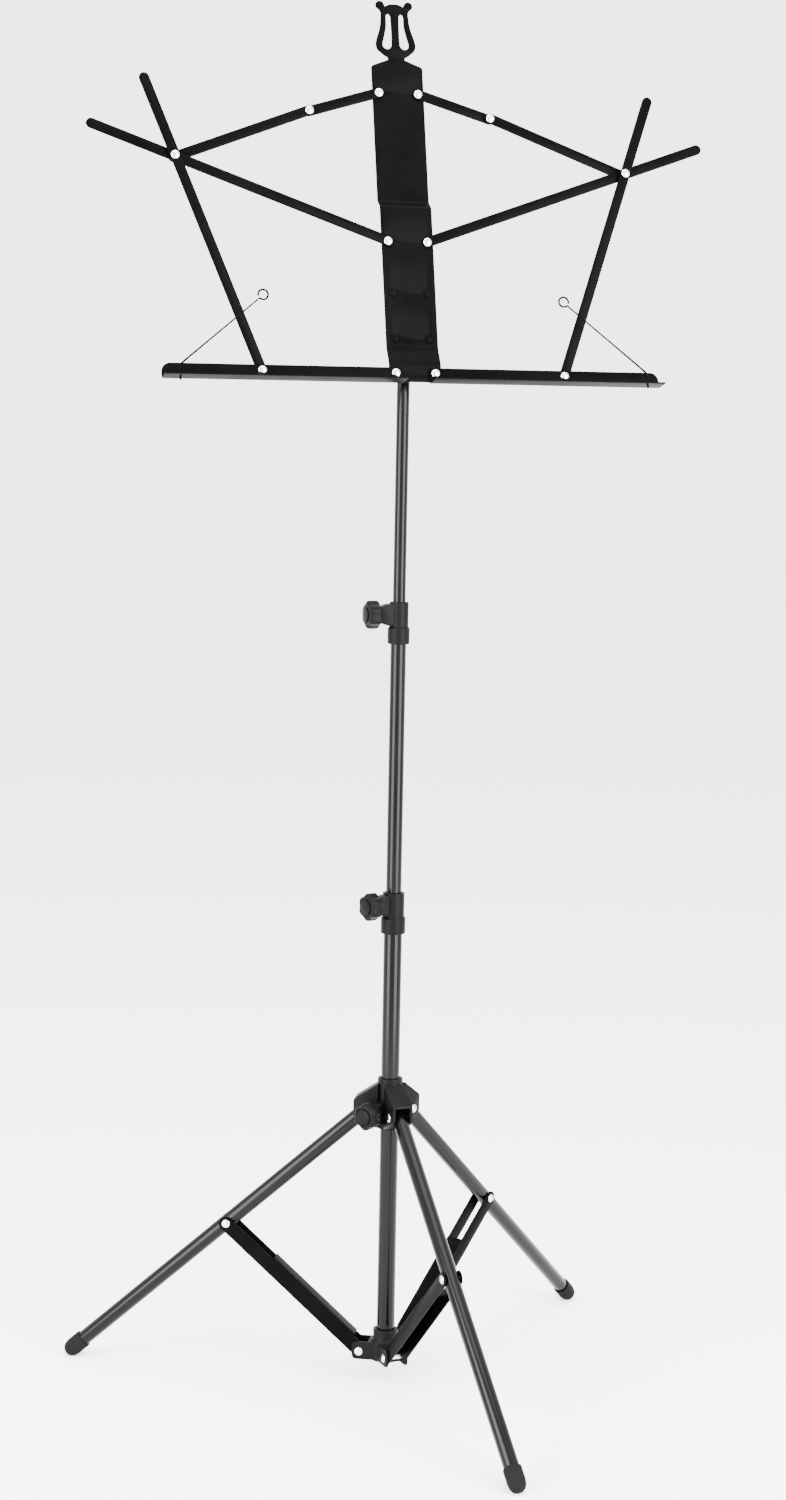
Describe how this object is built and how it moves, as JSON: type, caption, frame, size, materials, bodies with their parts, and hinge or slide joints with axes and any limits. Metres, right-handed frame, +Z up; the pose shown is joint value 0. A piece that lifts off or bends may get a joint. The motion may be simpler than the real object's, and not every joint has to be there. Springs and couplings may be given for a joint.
{
  "type": "music stand",
  "caption": "Folding music stand: three-legged telescoping mast with a tilting desk of riveted bars, a two-part ledge, page retainers and a lyre-shaped top.",
  "frame": {"origin": "on the floor, under the middle of the bounding box", "axes": "+Z up along the mast; the desk faces -Y; +X to the right of someone reading it, along the ledge"},
  "size_m": [0.6446, 0.5544, 1.4265],
  "materials": {
    "black_paint": "satin black powder coat on pressed steel",
    "gloss_paint": "gloss black lacquer on steel tube",
    "black_plastic": "moulded black plastic, fine grain",
    "rubber": "matt black rubber",
    "nickel": "nickel-plated steel"
  },
  "bodies": {
    "base": {"outer_tube": "gloss_paint", "bottom_hub": "black_plastic", "lower_clamp": "black_plastic", "brace_pin_1": "nickel", "brace_pin_2": "nickel", "brace_pin_3": "nickel"},
    "brace_1": {"brace_1": "black_paint", "leg_rivet_1": "nickel"},
    "leg_1": {"leg_1": "gloss_paint", "foot_1": "rubber"},
    "brace_2": {"brace_2": "black_paint", "leg_rivet_2": "nickel"},
    "leg_2": {"leg_2": "gloss_paint", "foot_2": "rubber"},
    "brace_3": {"brace_3": "black_paint", "leg_rivet_3": "nickel"},
    "leg_3": {"leg_3": "gloss_paint", "foot_3": "rubber"},
    "collar": {"leg_collar": "black_plastic", "leg_pin_1": "nickel", "leg_pin_2": "nickel", "leg_pin_3": "nickel"},
    "collar_knob": {"leg_collar_knob": "black_plastic"},
    "lower_knob": {"lower_clamp_knob": "black_plastic"},
    "mid_tube": {"mid_tube": "gloss_paint", "upper_clamp": "black_plastic"},
    "upper_knob": {"upper_clamp_knob": "black_plastic"},
    "upper_tube": {"upper_tube": "gloss_paint"},
    "tilt_head": {"tilt_head": "black_plastic"},
    "desk": {"desk_plate": "black_paint", "tilt_bracket": "black_paint", "tilt_bolt": "nickel", "right_stay_pivot": "nickel", "right_bar_pivot": "nickel", "right_ledge_pivot": "nickel", "left_stay_pivot": "nickel", "left_bar_pivot": "nickel", "left_ledge_pivot": "nickel"},
    "wing_nut": {"tilt_wing_nut": "nickel"},
    "right_lower_bar": {"right_lower_bar": "black_paint", "right_crossing_rivet": "nickel"},
    "right_outer_bar": {"right_outer_bar": "black_paint"},
    "right_ledge": {"right_ledge": "black_paint", "right_ledge_rivet": "nickel"},
    "right_inner_stay": {"right_inner_stay": "black_paint"},
    "right_outer_stay": {"right_outer_stay": "black_paint", "right_elbow_rivet": "nickel"},
    "right_retainer": {"right_page_retainer": "black_paint"},
    "left_lower_bar": {"left_lower_bar": "black_paint", "left_crossing_rivet": "nickel"},
    "left_outer_bar": {"left_outer_bar": "black_paint"},
    "left_ledge": {"left_ledge": "black_paint", "left_ledge_rivet": "nickel"},
    "left_inner_stay": {"left_inner_stay": "black_paint"},
    "left_outer_stay": {"left_outer_stay": "black_paint", "left_elbow_rivet": "nickel"},
    "left_retainer": {"left_page_retainer": "black_paint"}
  },
  "joints": [
    {"name": "tripod_fold", "type": "hinge", "parent": "base", "child": "brace_1", "pos_m": [0.02144, 0.0845, 0.0287], "axis": [0.5878, -0.809, 0], "range_deg": [0, 46.5]},
    {"name": "leg_1_fold", "type": "hinge", "parent": "brace_1", "child": "leg_1", "pos_m": [0.13845, 0.16951, 0.15755], "axis": [0.5878, -0.809, 0], "range_deg": [-93, 0]},
    {"name": "brace_2_fold", "type": "hinge", "parent": "base", "child": "brace_2", "pos_m": [-0.02421, 0.0797, 0.0287], "axis": [0.4067, 0.9135, 0], "range_deg": [0, 46.5]},
    {"name": "leg_2_fold", "type": "hinge", "parent": "brace_2", "child": "leg_2", "pos_m": [-0.15634, 0.13853, 0.15755], "axis": [0.4067, 0.9135, 0], "range_deg": [-93, 0]},
    {"name": "brace_3_fold", "type": "hinge", "parent": "base", "child": "brace_3", "pos_m": [0.00277, 0.04257, 0.0287], "axis": [-0.9945, -0.1045, 0], "range_deg": [0, 46.5]},
    {"name": "leg_3_fold", "type": "hinge", "parent": "brace_3", "child": "leg_3", "pos_m": [0.01789, -0.10127, 0.15755], "axis": [-0.9945, -0.1045, 0], "range_deg": [-93, 0]},
    {"name": "collar_fold", "type": "hinge", "parent": "leg_1", "child": "collar", "pos_m": [0.02144, 0.0845, 0.2864], "axis": [0.5878, -0.809, 0], "range_deg": [0, 46.5]},
    {"name": "collar_knob_turn", "type": "hinge", "parent": "collar", "child": "collar_knob", "pos_m": [-0.02427, 0.05129, 0.288], "axis": [-0.809, -0.5878, 0], "range_deg": [0, 180]},
    {"name": "lower_knob_turn", "type": "hinge", "parent": "base", "child": "lower_knob", "pos_m": [-0.02054, 0.06104, 0.506], "axis": [-0.9336, -0.3584, 0], "range_deg": [0, 180]},
    {"name": "mid_tube_slide", "type": "slide", "parent": "base", "child": "mid_tube", "axis": [0, 0, 1], "range_m": [-0.25, 0.06]},
    {"name": "upper_knob_turn", "type": "hinge", "parent": "mid_tube", "child": "upper_knob", "pos_m": [-0.02195, 0.06739, 0.807], "axis": [-0.9976, -0.0698, 0], "range_deg": [0, 180]},
    {"name": "upper_tube_slide", "type": "slide", "parent": "mid_tube", "child": "upper_tube", "axis": [0, 0, 1], "range_m": [-0.24, 0.05]},
    {"name": "desk_swivel", "type": "hinge", "parent": "upper_tube", "child": "tilt_head", "pos_m": [0, 0.06892, 1.104], "axis": [0, 0, 1], "range_deg": [-180, 180]},
    {"name": "desk_tilt", "type": "hinge", "parent": "tilt_head", "child": "desk", "pos_m": [0, 0.06892, 1.104], "axis": [-1, 0, 0], "range_deg": [-13.6, 60]},
    {"name": "wing_nut_turn", "type": "hinge", "parent": "desk", "child": "wing_nut", "pos_m": [0, 0.06892, 1.104], "axis": [1, 0, 0], "range_deg": [0, 180]},
    {"name": "right_fold", "type": "hinge", "parent": "desk", "child": "right_lower_bar", "pos_m": [0.0205, 0.06372, 1.18242], "axis": [0, -0.972, 0.2351], "range_deg": [0, 69.93]},
    {"name": "right_outer_bar_swing", "type": "hinge", "parent": "right_lower_bar", "child": "right_outer_bar", "pos_m": [0.23559, 0.07773, 1.25989], "axis": [0, -0.972, 0.2351], "range_deg": [-49.86, 0]},
    {"name": "right_ledge_fold", "type": "hinge", "parent": "desk", "child": "right_ledge", "pos_m": [0.0205, 0.0254, 1.05126], "axis": [0, -0.972, 0.2351], "range_deg": [0, 90]},
    {"name": "right_inner_stay_swing", "type": "hinge", "parent": "desk", "child": "right_inner_stay", "pos_m": [0.0205, 0.10779, 1.33226], "axis": [0, -0.972, 0.2351], "range_deg": [-70.21, 0]},
    {"name": "right_outer_stay_swing", "type": "hinge", "parent": "right_lower_bar", "child": "right_outer_stay", "pos_m": [0.23559, 0.08589, 1.25792], "axis": [0, -0.972, 0.2351], "range_deg": [0, 42.6]},
    {"name": "right_retainer_swing", "type": "hinge", "parent": "right_ledge", "child": "right_retainer", "pos_m": [0.2415, 0.01228, 1.05443], "axis": [0, 0.2351, 0.972], "range_deg": [0, 150]},
    {"name": "left_fold", "type": "hinge", "parent": "desk", "child": "left_lower_bar", "pos_m": [-0.0205, 0.06372, 1.18242], "axis": [0, 0.972, -0.2351], "range_deg": [0, 69.93]},
    {"name": "left_outer_bar_swing", "type": "hinge", "parent": "left_lower_bar", "child": "left_outer_bar", "pos_m": [-0.23559, 0.07773, 1.25989], "axis": [0, 0.972, -0.2351], "range_deg": [-49.86, 0]},
    {"name": "left_ledge_fold", "type": "hinge", "parent": "desk", "child": "left_ledge", "pos_m": [-0.0205, 0.0254, 1.05126], "axis": [0, 0.972, -0.2351], "range_deg": [0, 90]},
    {"name": "left_inner_stay_swing", "type": "hinge", "parent": "desk", "child": "left_inner_stay", "pos_m": [-0.0205, 0.10779, 1.33226], "axis": [0, 0.972, -0.2351], "range_deg": [-70.21, 0]},
    {"name": "left_outer_stay_swing", "type": "hinge", "parent": "left_lower_bar", "child": "left_outer_stay", "pos_m": [-0.23559, 0.08589, 1.25792], "axis": [0, 0.972, -0.2351], "range_deg": [0, 42.6]},
    {"name": "left_retainer_swing", "type": "hinge", "parent": "left_ledge", "child": "left_retainer", "pos_m": [-0.2415, 0.0152, 1.05372], "axis": [0, -0.2351, -0.972], "range_deg": [0, 150]}
  ],
  "couplings": [
    {"joint": "leg_1_fold", "follows": "tripod_fold", "ratio": -2},
    {"joint": "brace_2_fold", "follows": "tripod_fold", "ratio": 1},
    {"joint": "leg_2_fold", "follows": "tripod_fold", "ratio": -2},
    {"joint": "brace_3_fold", "follows": "tripod_fold", "ratio": 1},
    {"joint": "leg_3_fold", "follows": "tripod_fold", "ratio": -2},
    {"joint": "collar_fold", "follows": "tripod_fold", "ratio": 1},
    {"joint": "right_outer_bar_swing", "follows": "right_fold", "ratio": -0.71297},
    {"joint": "right_ledge_fold", "follows": "right_fold", "ratio": 1.287},
    {"joint": "right_inner_stay_swing", "follows": "right_fold", "ratio": -1.004},
    {"joint": "right_outer_stay_swing", "follows": "right_fold", "ratio": 0.6092},
    {"joint": "left_outer_bar_swing", "follows": "left_fold", "ratio": -0.71297},
    {"joint": "left_ledge_fold", "follows": "left_fold", "ratio": 1.287},
    {"joint": "left_inner_stay_swing", "follows": "left_fold", "ratio": -1.004},
    {"joint": "left_outer_stay_swing", "follows": "left_fold", "ratio": 0.6092}
  ]
}
